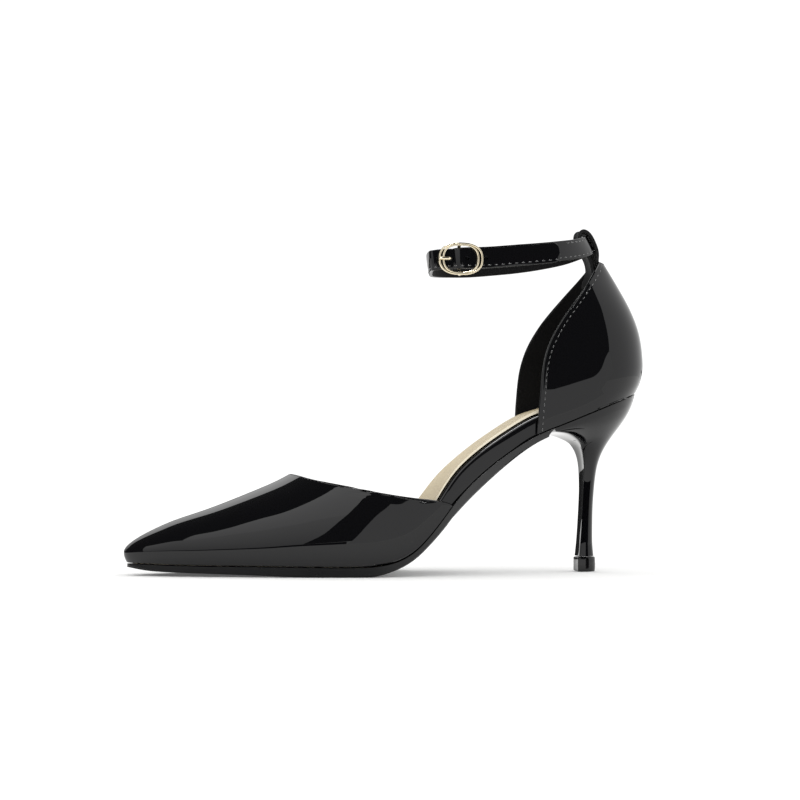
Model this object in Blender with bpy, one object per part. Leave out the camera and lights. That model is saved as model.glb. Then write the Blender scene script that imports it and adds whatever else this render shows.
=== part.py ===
"""Black patent two-piece pump with ankle strap, left shoe, size 36, 80 mm heel.

The shoe stands on z = 0 with its toe towards -X, its heel towards +X, its
outer side towards -Y and its inner side towards +Y. Tables are in millimetres
and each row is one section. Every piece is one closed solid.
"""

import math
from collections import namedtuple

import bmesh
import bpy
import numpy as np
from mathutils import Vector

MM = 0.001

# Driving sizes of the last and the materials
TOE_X = -114.0            # feather line at the toe
HEEL_X = 112.4            # feather line at the back of the heel
TOE_ROUND = 26.0          # length over which the toe closes to its point
HEEL_ROUND = 27.0         # length over which the heel seat rounds off
WALL = 1.6                # upper leather with its lining
GAP = 0.3                 # clearance between neighbouring pieces
SOCK = 1.2                # insole sock
WAIST_CANT = 0.6          # the waist dips to the inner side by this much each way
WAIST_RUN_IN = (0.0, 24.0)
WAIST_RUN_OUT = (58.0, 82.0)
SOCK_INSET = 0.5          # sock edge inside the wrapped board's edge
BOARD_SLACK = 0.1
BOARD_INSET = WALL + GAP + BOARD_SLACK
END_FLAT = 0.15           # slabs end this far from the very tip of their outline
SOCK_END_FLAT = 1.0
SLAB_STEP = 4.4
TOE_STATIONS = 12
BOARD_FRONT = -6.0        # front end of the wrapped board, under the ball
BOARD_BACK = 108.0
SOLE_END = 69.6           # outsole stops at the heel breast
SOLE_END_RAKE = 2.4       # the cut leans forward at the bottom
SOLE_RAKE_START = 58.0
SOLE_ROLL = 0.9           # rounding of the tread's edge
SOLE_WAIST_INSET = 1.5    # the outsole draws in under the waist
SOLE_DRAW_IN = (18.0, 32.0)
SOLE_DRAW_OUT = (50.0, 61.0)

# Bottom of the last: feather line, tread line, half widths and board height
Bottom = namedtuple("Bottom", "x feather tread outer inner board")
BOTTOM = (
    Bottom(-114.0, 5.0, 3.6, 10.5, 10.5, 0.0),
    Bottom(-104.0, 4.8, 2.1, 13.5, 13.5, 0.0),
    Bottom(-84.0, 4.4, 1.4, 20.0, 21.0, 0.0),
    Bottom(-62.0, 4.3, 0.8, 27.0, 29.0, 0.0),
    Bottom(-38.0, 4.1, 0.0, 33.4, 34.2, 0.0),
    Bottom(-24.0, 4.0, 0.0, 36.0, 35.0, 0.0),
    Bottom(-13.0, 4.2, 0.0, 37.0, 33.0, 0.0),
    Bottom(-3.0, 5.6, 2.3, 36.8, 30.5, 1.6),
    Bottom(6.0, 9.8, 6.7, 35.6, 27.5, 4.2),
    Bottom(16.0, 19.8, 15.9, 33.4, 24.4, 7.6),
    Bottom(26.0, 32.4, 27.0, 30.8, 22.0, 9.1),
    Bottom(36.0, 42.2, 36.6, 28.4, 20.8, 9.1),
    Bottom(48.0, 51.4, 46.5, 26.4, 20.8, 9.1),
    Bottom(62.0, 60.2, 56.0, 25.4, 22.4, 8.8),
    Bottom(76.0, 65.8, 61.6, 25.2, 24.4, 7.2),
    Bottom(94.0, 73.0, 68.8, 25.0, 25.0, 5.8),
    Bottom(112.4, 79.9, 75.7, 25.0, 25.0, 5.0),
)

# Vamp over the last: height of the ridge, its shift to the inner side,
# how far the wall swells past the feather line, where, and its fullness
Vamp = namedtuple("Vamp", "x ridge shift swell swell_height fullness")
VAMP = (
    Vamp(-114.0, 14.2, 0.0, 1.7, 4.8, 0.62),
    Vamp(-104.0, 19.0, 0.0, 1.8, 5.2, 0.62),
    Vamp(-95.5, 22.9, 0.0, 1.9, 5.6, 0.62),
    Vamp(-78.0, 28.9, 0.5, 2.0, 6.2, 0.62),
    Vamp(-60.7, 35.7, 1.0, 2.0, 6.8, 0.61),
    Vamp(-48.0, 41.2, 1.5, 2.0, 7.2, 0.60),
    Vamp(-42.6, 44.1, 2.0, 2.0, 7.4, 0.60),
    Vamp(-20.0, 57.0, 2.5, 2.0, 7.6, 0.60),
    Vamp(24.0, 80.0, 3.0, 1.4, 6.0, 0.60),
)
VAMP_POLE = -95.5         # the toe rows fan out from this point of the ridge
VAMP_THROAT = -42.6
VAMP_END = 23.8
VAMP_TOE_ROWS = 14
VAMP_SIDE_ROWS = 24
VAMP_FOOT_SEGMENTS = 2
VAMP_WALL_SEGMENTS = 10
PROFILE_POINTS = 40
SWELL_PULL = 0.66         # how directly the wall leaves the feather line
SWELL_LIFT = 0.3
SWELL_SHARE = 0.3         # the swell's points keep to this share of a wall
INNER_TOPLINE_DROP = 1.2  # the inner side is cut a little lower
INNER_DROP_RUN = 20.0

Topline = namedtuple("Topline", "x height")
TOPLINE = (
    Topline(-42.6, 44.1),
    Topline(-40.0, 43.3),
    Topline(-36.0, 41.8),
    Topline(-28.0, 40.2),
    Topline(-12.0, 36.9),
    Topline(5.0, 34.0),
    Topline(18.0, 32.4),
    Topline(23.8, 31.2),
)

# Heel counter: levels from the seat to the top, with the front edge, the back
# edge and the width against the heel seat
Level = namedtuple("Level", "front_x front_z back_x back_z width")
COUNTER = (
    Level(62.2, 60.3, 112.4, 79.9, 1.00),
    Level(62.6, 69.0, 114.8, 85.2, 1.05),
    Level(63.4, 79.0, 116.0, 91.5, 1.07),
    Level(64.4, 89.0, 115.6, 98.5, 1.05),
    Level(67.2, 99.2, 114.4, 106.2, 1.00),
    Level(74.0, 111.2, 110.9, 116.0, 0.92),
    Level(83.5, 123.2, 105.8, 125.6, 0.78),
    Level(91.0, 132.6, 101.0, 133.8, 0.62),
    Level(95.2, 138.4, 98.4, 138.0, 0.55),
)
COUNTER_LEVELS = 20
COUNTER_COLUMNS = 30

# Heel: sections from the seat to the top piece, each from breast to back
Section = namedtuple("Section", "front_x front_z back_x back_z width hollow taper")
HEEL = (
    Section(70.0, 63.4, 112.4, 79.9, 25.1, 0.0, 0.00),
    Section(71.0, 62.0, 111.6, 76.6, 24.4, 0.2, 0.02),
    Section(76.4, 61.4, 109.4, 71.2, 21.6, 0.8, 0.06),
    Section(81.4, 59.6, 105.6, 65.4, 17.0, 1.2, 0.12),
    Section(85.2, 57.0, 100.7, 58.8, 11.8, 1.2, 0.18),
    Section(87.2, 52.4, 97.0, 52.4, 8.2, 0.9, 0.20),
    Section(88.0, 46.5, 95.0, 46.2, 6.3, 0.6, 0.20),
    Section(88.1, 38.0, 93.9, 38.0, 5.2, 0.4, 0.18),
    Section(87.5, 26.0, 93.1, 26.0, 4.7, 0.3, 0.16),
    Section(86.7, 14.0, 93.0, 14.0, 4.6, 0.2, 0.14),
    Section(86.0, 6.9, 93.6, 6.9, 4.8, 0.2, 0.12),
)
HEEL_SECTIONS = 22
HEEL_SIDE_POINTS = 11
HEEL_WIDEST = 0.36        # share of each section where it is widest

TIP_FRONT = 85.4
TIP_BACK = 94.4
TIP_WIDTH = 5.0
TIP_HEIGHT = 6.6
TIP_ROLL = 0.4
TIP_HOLLOW = 0.2
TIP_TAPER = 0.12

# Ankle strap: plan of the route from the folded end on the buckle bar, round
# the ankle and out through the buckle to the tip
STRAP_WIDTH = 8.8
STRAP_THICK = 1.4
STRAP_STEP = 2.6
FOLD_STEP = 1.0
FOLD_POINTS = 9
SLOPE_STEP = 0.2
Route = namedtuple("Route", "x y")
BAR_X = 27.4
BAR_Y = -26.4
FLAP_ROUTE = (
    Route(37.0, -25.45),
    Route(33.0, -25.25),
)
STRAP_ROUTE = (
    Route(33.0, -27.3),
    Route(40.0, -27.0),
    Route(48.0, -26.8),
    Route(60.0, -26.0),
    Route(72.0, -22.6),
    Route(82.5, -15.6),
    Route(89.4, -7.6),
    Route(91.9, 0.0),
    Route(89.4, 7.6),
    Route(83.0, 15.0),
    Route(72.0, 21.4),
    Route(58.0, 25.0),
    Route(43.0, 25.0),
    Route(30.0, 20.4),
    Route(21.4, 12.4),
    Route(18.4, 2.0),
    Route(17.7, -10.0),
    Route(18.0, -21.0),
    Route(19.8, -26.2),
    Route(22.8, -28.4),
    Route(27.4, -29.9),
    Route(33.0, -29.6),
    Route(40.0, -28.9),
    Route(48.0, -28.6),
    Route(58.0, -28.0),
    Route(66.6, -26.6),
)
Rise = namedtuple("Rise", "x height")
STRAP_RISE = (
    Rise(16.4, 136.9),
    Rise(30.0, 137.3),
    Rise(41.0, 137.9),
    Rise(54.0, 139.1),
    Rise(63.0, 140.0),
    Rise(72.0, 141.2),
    Rise(81.5, 142.9),
    Rise(87.0, 144.5),
    Rise(92.0, 146.7),
)
STRAP_TIP = 5.0           # length of the rounded tip
STRAP_BLUNT = 0.97        # the tip ends at this share of its rounding

# Folded loop that holds the strap at the top of the counter
LOOP_WIDTH = 10.0
LOOP_THICK = 1.6
LOOP_BOW = 0.045          # curve round the back of the ankle
LOOP_STEP = 1.5
LOOP_ACROSS = 5
LOOP_ROUTE = (
    Rise(98.2, 130.5),
    Rise(96.1, 134.2),
    Rise(94.9, 138.4),
    Rise(95.6, 143.0),
    Rise(94.0, 147.6),
    Rise(92.1, 151.0),
    Rise(89.9, 152.5),
    Rise(88.2, 152.0),
    Rise(87.5, 149.8),
    Rise(88.7, 145.8),
    Rise(90.5, 141.8),
    Rise(92.0, 137.8),
    Rise(93.4, 134.2),
    Rise(95.5, 130.5),
)

# Buckle: oval ring with a centre bar set back behind the strap
RING_LENGTH = 19.4
RING_HEIGHT = 14.3
RING_WIRE = 0.95
RING_SQUARE = 2.5         # above 2 the oval has fuller corners
RING_Y = -31.2
RING_Z = 136.4
RING_POINTS = 36
WIRE_SIDES = 8
BAR_WIRE = 0.75
BAR_CORNER = 1.2          # the bar's arms turn through this radius
BAR_CHAMFER = 0.42
PRONG_WIRE = 0.65
PRONG_STEP = 0.9
PRONG_HOOK = (63.0, 180.0)
PRONG_POINTS = 6
PRONG_ROUTE = (           # x from the bar, y from the plane of the ring
    Route(-3.4, 2.8),
    Route(-4.9, -0.9),
    Route(-6.4, -1.65),
    Route(-8.2, -1.9),
    Route(-9.6, -1.9),
)
SLOT = 2.4                # slot and hole that let the prong through
SLOT_LENGTH = 6.4
SLOT_DEPTH = 5.6
HOLE_PLACE = Route(-4.3, 1.6)
HOLE_TURN = -35.0
HOLE_DEPTH = 6.0
HOLE_SIDES = 12


def blend(table_x, table_y, x):
    """Smooth curve through a table that never overshoots its rows."""
    table_x = np.asarray(table_x, float)
    table_y = np.asarray(table_y, float)
    step = np.diff(table_x)
    rate = np.diff(table_y) / step
    slope = np.zeros_like(table_y)
    for i in range(1, len(table_y) - 1):
        if rate[i - 1] * rate[i] > 0.0:
            before = 2.0 * step[i] + step[i - 1]
            after = step[i] + 2.0 * step[i - 1]
            slope[i] = (before + after) / (before / rate[i - 1] + after / rate[i])
    slope[0] = rate[0]
    slope[-1] = rate[-1]
    x = np.clip(np.asarray(x, float), table_x[0], table_x[-1])
    k = np.clip(np.searchsorted(table_x, x) - 1, 0, len(step) - 1)
    t = (x - table_x[k]) / step[k]
    return (
        table_y[k] * (1 + 2 * t) * (1 - t) ** 2
        + slope[k] * step[k] * t * (1 - t) ** 2
        + table_y[k + 1] * t * t * (3 - 2 * t)
        + slope[k + 1] * step[k] * t * t * (t - 1)
    )


def column(table, name):
    return [getattr(row, name) for row in table]


def along(table, name, x):
    return blend(column(table, "x"), column(table, name), x)


def ease(start, end, x):
    """0 before start, 1 after end, smooth between."""
    t = np.clip((x - start) / (end - start), 0.0, 1.0)
    return t * t * (3.0 - 2.0 * t)


def spline(points, step):
    """Points about one step apart on a smooth curve through the given ones."""
    points = np.asarray(points, float)
    first = 2 * points[0] - points[1]
    last = 2 * points[-1] - points[-2]
    padded = np.vstack([first, points, last])
    dense = []
    for i in range(1, len(padded) - 2):
        a, b, c, d = padded[i - 1 : i + 3]
        for t in np.linspace(0.0, 1.0, 24, endpoint=False):
            dense.append(
                0.5 * (2 * b + (c - a) * t + (2 * a - 5 * b + 4 * c - d) * t**2
                       + (3 * b - a - 3 * c + d) * t**3)
            )
    dense.append(points[-1])
    return resample(np.array(dense), step=step)


def lengths(line):
    """Length along a polyline at each of its points."""
    steps = np.linalg.norm(np.diff(line, axis=0), axis=1)
    return np.concatenate([[0.0], np.cumsum(steps)])


def resample(line, step=None, count=None, places=None):
    """Even points on a polyline, or points at the given lengths along it."""
    length = lengths(line)
    if places is None:
        count = count or max(2, int(round(length[-1] / step)))
        places = np.linspace(0.0, length[-1], count + 1)
    return np.column_stack([np.interp(places, length, line[:, k]) for k in range(line.shape[1])])


def feather(x):
    return along(BOTTOM, "feather", x)


def half_width(x, side, inset=0.0):
    """Half width of the feather line, or of a line inside it, rounded off at both ends."""
    x = np.asarray(x, float)
    toe = np.clip(1.0 - (x - TOE_X - inset) / (TOE_ROUND - inset), 0.0, 1.0)
    heel = np.clip(1.0 - (HEEL_X - inset - x) / (HEEL_ROUND - inset), 0.0, 1.0)
    return (along(BOTTOM, side, x) - inset) * np.sqrt((1.0 - toe**2) * (1.0 - heel**2))


def make_material(name, colour, roughness, metallic=0.0):
    material = bpy.data.materials.new(name)
    material.use_nodes = True
    shader = material.node_tree.nodes["Principled BSDF"]
    shader.inputs["Base Color"].default_value = (*colour, 1.0)
    shader.inputs["Roughness"].default_value = roughness
    shader.inputs["Metallic"].default_value = metallic
    return material


def finish(name, bm, material, smooth_angle=40.0):
    """Turn a bmesh in millimetres into a named, smooth shaded object."""
    bmesh.ops.scale(bm, vec=Vector((MM, MM, MM)), verts=bm.verts)
    mesh = bpy.data.meshes.new(name)
    bm.to_mesh(mesh)
    bm.free()
    mesh.shade_smooth()
    mesh.set_sharp_from_angle(angle=math.radians(smooth_angle))
    mesh.materials.append(material)
    obj = bpy.data.objects.new(name, mesh)
    bpy.context.scene.collection.objects.link(obj)
    return obj


def sheet(rows):
    """Open grid of quads; points that coincide become one."""
    bm = bmesh.new()
    grid = [[bm.verts.new(point) for point in row] for row in rows]
    for near, far in zip(grid, grid[1:]):
        for j in range(len(near) - 1):
            bm.faces.new((near[j], near[j + 1], far[j + 1], far[j]))
    bmesh.ops.remove_doubles(bm, verts=bm.verts, dist=1e-4)
    return bm


def loft(rings, capped=True):
    """Closed tube through rings with the same number of points."""
    bm = bmesh.new()
    loops = [[bm.verts.new(point) for point in ring] for ring in rings]
    for near, far in zip(loops, loops[1:]):
        for j in range(len(near)):
            k = (j + 1) % len(near)
            bm.faces.new((near[j], near[k], far[k], far[j]))
    if capped:
        bm.faces.new(loops[0])
        bm.faces.new(loops[-1])
    bmesh.ops.recalc_face_normals(bm, faces=bm.faces)
    return bm


def thicken(obj, thickness):
    """Give an open sheet its wall, inwards from the modelled outside."""
    wall = obj.modifiers.new("wall", "SOLIDIFY")
    wall.thickness = thickness * MM
    wall.offset = -1.0
    wall.use_even_offset = True
    wall.use_rim = True


def cut(obj, cutter):
    cutter.hide_render = True
    cutter.display_type = "WIRE"
    knife = obj.modifiers.new("cut", "BOOLEAN")
    knife.operation = "DIFFERENCE"
    knife.solver = "EXACT"
    knife.object = cutter


# Slabs along the bottom of the shoe: outsole, wrapped board and sock


def slab(stations, edges, lower, upper, roll=0.0, rake=None, cant_top=0.0, cant_low=0.0):
    """Solid between two lines along x, with its lower edges rolled."""
    rings = []
    for x in stations:
        outer, inner = edges(x)
        lean = rake(x) if rake else 0.0
        low_x = x - lean
        top = float(upper(x))
        low = float(lower(low_x))
        middle = (inner - outer) / 2.0
        waist = float(ease(*WAIST_RUN_IN, x) * (1.0 - ease(*WAIST_RUN_OUT, x)))
        tilt = cant_top * waist
        ring = [(x, -outer, top + tilt), (x, middle, top), (x, inner, top - tilt)]
        tilt = cant_low * waist
        if roll:
            ring.append((low_x, inner, low + roll))
        ring.append((low_x, inner - roll, low - tilt))
        ring.append((low_x, middle, low))
        ring.append((low_x, roll - outer, low + tilt))
        if roll:
            ring.append((low_x, -outer, low + roll))
        rings.append(ring)
    return loft(rings)


def stations_between(start, end, step, toe_start):
    """Stations along x, closer together where the toe rounds off."""
    near_toe = TOE_X + TOE_ROUND
    if toe_start:
        turn = np.linspace(0.0, math.pi / 2, TOE_STATIONS)
        front = start + (near_toe - start) * (1.0 - np.cos(turn))
        start = near_toe
    else:
        front = np.array([start])
    count = int(math.ceil((end - start) / step))
    return np.concatenate([front, np.linspace(start, end, count + 1)[1:]])


def sole_edges(x):
    inset = SOLE_WAIST_INSET * ease(*SOLE_DRAW_IN, x) * (1.0 - ease(*SOLE_DRAW_OUT, x))
    return half_width(x, "outer") - inset, half_width(x, "inner") - inset


def make_outsole(material):
    def tread(x):
        return along(BOTTOM, "tread", x)

    def rake(x):
        return SOLE_END_RAKE * ease(SOLE_RAKE_START, SOLE_END, x)

    stations = stations_between(TOE_X + END_FLAT, SOLE_END, SLAB_STEP, True)
    flat = [row.x for row in BOTTOM if row.tread == 0.0]
    stations = np.unique(np.concatenate([stations, flat]))
    bm = slab(stations, sole_edges, tread, feather, roll=SOLE_ROLL, rake=rake)
    return finish("outsole", bm, material)


def board_top(x):
    return feather(x) + along(BOTTOM, "board", x)


def board_edges(x):
    return half_width(x, "outer", BOARD_INSET), half_width(x, "inner", BOARD_INSET)


def make_waist_rand(material):
    def underside(x):
        return feather(x) + GAP

    stations = stations_between(BOARD_FRONT, BOARD_BACK, SLAB_STEP, False)
    bm = slab(stations, board_edges, underside, board_top, cant_top=WAIST_CANT)
    return finish("waist_rand", bm, material)


def make_insole(material):
    inset = BOARD_INSET + SOCK_INSET

    def edges(x):
        return half_width(x, "outer", inset), half_width(x, "inner", inset)

    def underside(x):
        return board_top(x) + GAP

    def upper(x):
        return board_top(x) + GAP + SOCK

    front = TOE_X + inset + END_FLAT
    back = HEEL_X - inset - SOCK_END_FLAT
    stations = stations_between(front, back, SLAB_STEP, True)
    bm = slab(stations, edges, underside, upper, cant_top=WAIST_CANT, cant_low=WAIST_CANT)
    return finish("insole", bm, material)


# Upper


def bezier(points, t):
    a, b, c, d = (np.asarray(point, float) for point in points)
    t = t[:, None]
    return a * (1 - t) ** 3 + 3 * b * t * (1 - t) ** 2 + 3 * c * t**2 * (1 - t) + d * t**3


def vamp_profile(foot, crown, at_x, crown_slope):
    """Fine line up a wall, from the feather line over the swell to the ridge."""
    foot = np.asarray(foot, float)
    crown = np.asarray(crown, float)
    reach = math.hypot(*(crown - foot)[:2])
    inward = np.append((crown - foot)[:2] / reach, 0.0)
    rise = crown[2] - foot[2]
    swell = float(along(VAMP, "swell", at_x))
    full = float(along(VAMP, "fullness", at_x))
    widest = np.array([-swell, float(along(VAMP, "swell_height", at_x))])
    corner = np.array([-swell, rise - crown_slope * (reach + swell)])
    end = np.array([reach, rise])
    leave = widest * [SWELL_PULL, SWELL_LIFT]
    arrive = widest * [1.0, SWELL_PULL]
    t = np.linspace(0.0, 1.0, PROFILE_POINTS)
    lower = bezier((np.zeros(2), leave, arrive, widest), t)
    upper = bezier((widest, widest + full * (corner - widest), end + full * (corner - end), end), t)
    line = np.vstack([lower, upper[1:]])
    return foot + np.outer(line[:, 0], inward) + np.outer(line[:, 1], (0.0, 0.0, 1.0))


def vamp_shares(line):
    """Shares of a wall's length where its points sit: some on the swell, the rest even."""
    length = lengths(line)
    swell = min(length[PROFILE_POINTS - 1] / length[-1], SWELL_SHARE)
    return np.concatenate([
        np.linspace(0.0, swell, VAMP_FOOT_SEGMENTS + 1),
        np.linspace(swell, 1.0, VAMP_WALL_SEGMENTS + 1)[1:],
    ])


def vamp_wall(x, side):
    """Fine line up the side wall at x."""
    sign = -1.0 if side == "outer" else 1.0
    foot = (x, sign * half_width(x, side), feather(x) + GAP)
    crown = (x, along(VAMP, "shift", x), along(VAMP, "ridge", x))
    return vamp_profile(foot, crown, x, 0.0)


def vamp_point(x, side, share):
    """Point of the side wall at x, at a share of the way up to the ridge."""
    line = vamp_wall(x, side)
    return resample(line, places=[share * lengths(line)[-1]])[0]


def topline_share(x, side):
    """Share of the wall at x that lies under the topline."""
    line = vamp_wall(x, side)
    length = lengths(line)
    top = along(TOPLINE, "height", x)
    if side == "inner":
        top = top - INNER_TOPLINE_DROP * ease(VAMP_THROAT, VAMP_THROAT + INNER_DROP_RUN, x)
    return float(np.interp(top, line[:, 2], length / length[-1]))


def vamp_topline(side):
    """Stations and wall shares of the topline, from its rear corner to the throat."""
    spread = np.linspace(1.0, 0.0, 4 * PROFILE_POINTS)
    x = VAMP_THROAT + (VAMP_END - VAMP_THROAT) * spread**2.5
    share = np.array([topline_share(place, side) for place in x])
    line = np.array([vamp_point(place, side, part) for place, part in zip(x, share)])
    length = lengths(line)
    even = np.linspace(0.0, length[-1], VAMP_FOOT_SEGMENTS + VAMP_WALL_SEGMENTS)
    stations = np.append(VAMP_END, np.interp(even, length, x))
    shares = np.append(0.0, np.interp(even, length, share))
    return stations, shares


def vamp_side(side):
    """Rows over one side that lean back from the toe's upright row to the topline."""
    top_x, top_share = vamp_topline(side)
    advance = (top_x - VAMP_END) / (VAMP_THROAT - VAMP_END)
    rows = []
    for lean in np.linspace(0.0, 1.0, VAMP_SIDE_ROWS + 1):
        foot_x = VAMP_POLE + (VAMP_END - VAMP_POLE) * lean
        ridge_x = VAMP_POLE + (VAMP_THROAT - VAMP_POLE) * lean
        even = vamp_shares(vamp_wall(foot_x, side))
        share = even + (top_share - even) * lean
        x = foot_x + (ridge_x - foot_x) * (even + (advance - even) * lean)
        rows.append([tuple(vamp_point(place, side, part)) for place, part in zip(x, share)])
    return rows


def vamp_toe():
    """Rows that fan out round the toe from one point of the ridge."""
    crown = np.array([VAMP_POLE, 0.0, float(along(VAMP, "ridge", VAMP_POLE))])
    ahead = float(along(VAMP, "ridge", VAMP_POLE - 1.0))
    slope = crown[2] - ahead
    reach = VAMP_POLE - TOE_X
    rows = []
    for turn in np.linspace(-math.pi / 2, math.pi / 2, VAMP_TOE_ROWS + 1)[1:-1]:
        x = VAMP_POLE - reach * math.cos(turn)
        side = "outer" if turn < 0.0 else "inner"
        foot = (x, math.copysign(half_width(x, side), turn), feather(x) + GAP)
        away = np.array(foot[:2]) - crown[:2]
        facing = -away[0] / math.hypot(*away)
        line = vamp_profile(foot, crown, x, slope * facing)
        row = resample(line, places=vamp_shares(line) * lengths(line)[-1])
        rows.append([tuple(point) for point in row])
    return rows


def make_vamp(material):
    rows = vamp_side("outer")[::-1] + vamp_toe() + vamp_side("inner")
    obj = finish("vamp", sheet(rows), material)
    thicken(obj, WALL)
    return obj


def make_heel_counter(material):
    index = np.arange(len(COUNTER))
    seat = np.linspace(0.0, HEEL_X - COUNTER[0].front_x, 120)
    rows = []
    for at in np.linspace(0.0, len(COUNTER) - 1, COUNTER_LEVELS + 1):
        front_x, front_z, back_x, back_z, width = (
            float(blend(index, column(COUNTER, name), at)) for name in Level._fields
        )
        depth = back_x - front_x
        back = seat[seat < depth]
        distance = np.append(back, depth)
        lines = []
        for side, sign in (("outer", -1.0), ("inner", 1.0)):
            y = sign * width * half_width(HEEL_X - np.minimum(distance, seat[-1]), side)
            line = np.column_stack([back_x - distance, y])
            lines.append(resample(line, count=COUNTER_COLUMNS // 2))
        plan = np.vstack([lines[0][::-1], lines[1][1:]])
        share = (back_x - plan[:, 0]) / depth
        height = back_z + (front_z - back_z) * share
        if at == 0.0:
            height = feather(plan[:, 0])
        rows.append(np.column_stack([plan, height + GAP]))
    obj = finish("heel_counter", sheet(rows), material)
    thicken(obj, WALL)
    return obj


# Heel


def heel_ring(front_x, front_z, back_x, back_z, width, hollow, taper, seat=False):
    """D shaped section: breast at the front, round at the back."""
    ring = []
    share = 0.5 - 0.5 * np.cos(np.linspace(0.0, math.pi, HEEL_SIDE_POINTS))
    behind = np.clip((share - HEEL_WIDEST) / (1.0 - HEEL_WIDEST), 0.0, 1.0)
    before = np.clip((HEEL_WIDEST - share) / HEEL_WIDEST, 0.0, 1.0)
    y = width * np.sqrt(1.0 - behind**2) * (1.0 - taper * before**2)
    x = front_x + (back_x - front_x) * share
    z = feather(x) if seat else front_z + (back_z - front_z) * share
    for i in range(HEEL_SIDE_POINTS):
        ring.append((x[i], -y[i], z[i]))
    for i in range(HEEL_SIDE_POINTS - 2, -1, -1):
        ring.append((x[i], y[i], z[i]))
    ring.append((x[0] + hollow, 0.0, z[0]))
    return ring


def make_heel(material):
    index = np.arange(len(HEEL))
    rings = []
    for at in np.linspace(0.0, len(HEEL) - 1, HEEL_SECTIONS + 1):
        sizes = [float(blend(index, column(HEEL, name), at)) for name in Section._fields]
        rings.append(heel_ring(*sizes, seat=at == 0.0))
    return finish("heel", loft(rings), material, smooth_angle=50.0)


def make_top_piece(material):
    rings = []
    levels = (
        (TIP_HEIGHT, TIP_ROLL),
        (TIP_HEIGHT - TIP_ROLL, 0.0),
        (TIP_ROLL, 0.0),
        (0.0, TIP_ROLL),
    )
    for z, inset in levels:
        front = TIP_FRONT + inset
        back = TIP_BACK - inset
        rings.append(heel_ring(front, z, back, z, TIP_WIDTH - inset, TIP_HOLLOW, TIP_TAPER))
    return finish("top_piece", loft(rings), material, smooth_angle=50.0)


# Strap and buckle


def band(plan, width):
    """Flat strap along a plan route, standing on the slope of its own rise."""
    xs = column(STRAP_RISE, "x")
    heights = column(STRAP_RISE, "height")
    x = plan[:, 0]
    z = blend(xs, heights, x)
    ahead = blend(xs, heights, x + SLOPE_STEP)
    behind = blend(xs, heights, x - SLOPE_STEP)
    slope = (ahead - behind) / (2.0 * SLOPE_STEP)
    route = np.column_stack([plan, z])
    tangent = np.gradient(route, axis=0)
    upward = np.column_stack([-slope, np.zeros_like(x), np.ones_like(x)])
    upward /= np.linalg.norm(upward, axis=1)[:, None]
    outward = np.cross(tangent, upward)
    outward /= np.linalg.norm(outward, axis=1)[:, None]
    across = upward * (np.asarray(width) / 2.0)[:, None]
    half = outward * STRAP_THICK / 2.0
    return [
        (tuple(p - a - n), tuple(p + a - n), tuple(p + a + n), tuple(p - a + n))
        for p, a, n in zip(route, across, half)
    ]


def strap_plan():
    """Folded end round the bar, then the long route to the tip."""
    fold = BAR_WIRE + GAP + STRAP_THICK / 2.0
    turn = np.linspace(math.pi / 2, 3 * math.pi / 2, FOLD_POINTS)
    wrap = np.column_stack([BAR_X + fold * np.cos(turn), BAR_Y + fold * np.sin(turn)])
    route = np.array(STRAP_ROUTE)
    folded = spline(np.vstack([FLAP_ROUTE, wrap, route[:2]]), FOLD_STEP)
    return np.vstack([folded[:-1], spline(route[1:], STRAP_STEP)])


def make_ankle_strap(material):
    plan = strap_plan()
    length = lengths(plan)
    near_tip = np.clip(1.0 - (length[-1] - length) / STRAP_TIP, 0.0, STRAP_BLUNT)
    width = STRAP_WIDTH * np.sqrt(1.0 - near_tip**2)
    return finish("ankle_strap", loft(band(plan, width)), material)


def make_strap_loop(material):
    route = spline(LOOP_ROUTE, LOOP_STEP)
    tangent = np.gradient(route, axis=0)
    tangent /= np.linalg.norm(tangent, axis=1)[:, None]
    normal = np.column_stack([tangent[:, 1], -tangent[:, 0]]) * LOOP_THICK / 2.0
    across = np.linspace(-LOOP_WIDTH / 2.0, LOOP_WIDTH / 2.0, LOOP_ACROSS)
    rings = []
    for point, offset in zip(route, normal):
        ring = []
        for side, order in ((1.0, across), (-1.0, across[::-1])):
            for y in order:
                x, z = point + side * offset
                ring.append((x - LOOP_BOW * y * y, y, z))
        rings.append(ring)
    return finish("strap_loop", loft(rings), material)


def tube(path, radius, closed=False):
    """Round wire along a path of 3-D points, as rings of points."""
    path = np.asarray(path, float)
    if closed:
        tangent = np.roll(path, -1, axis=0) - np.roll(path, 1, axis=0)
    else:
        tangent = np.gradient(path, axis=0)
    tangent /= np.linalg.norm(tangent, axis=1)[:, None]
    rings = []
    for point, direction in zip(path, tangent):
        side = np.cross(direction, (0.0, 1.0, 0.0) if abs(direction[1]) < 0.8 else (0.0, 0.0, 1.0))
        side /= np.linalg.norm(side)
        other = np.cross(direction, side)
        turn = np.linspace(0.0, 2 * math.pi, WIRE_SIDES, endpoint=False)
        rings.append([tuple(point + radius * (math.cos(a) * side + math.sin(a) * other)) for a in turn])
    return rings


def close_rings(bm):
    """Join the last ring of an open tube to its first."""
    bm.verts.ensure_lookup_table()
    first = bm.verts[:WIRE_SIDES]
    last = bm.verts[-WIRE_SIDES:]
    for j in range(WIRE_SIDES):
        k = (j + 1) % WIRE_SIDES
        bm.faces.new((last[j], last[k], first[k], first[j]))
    bmesh.ops.recalc_face_normals(bm, faces=bm.faces)


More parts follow.
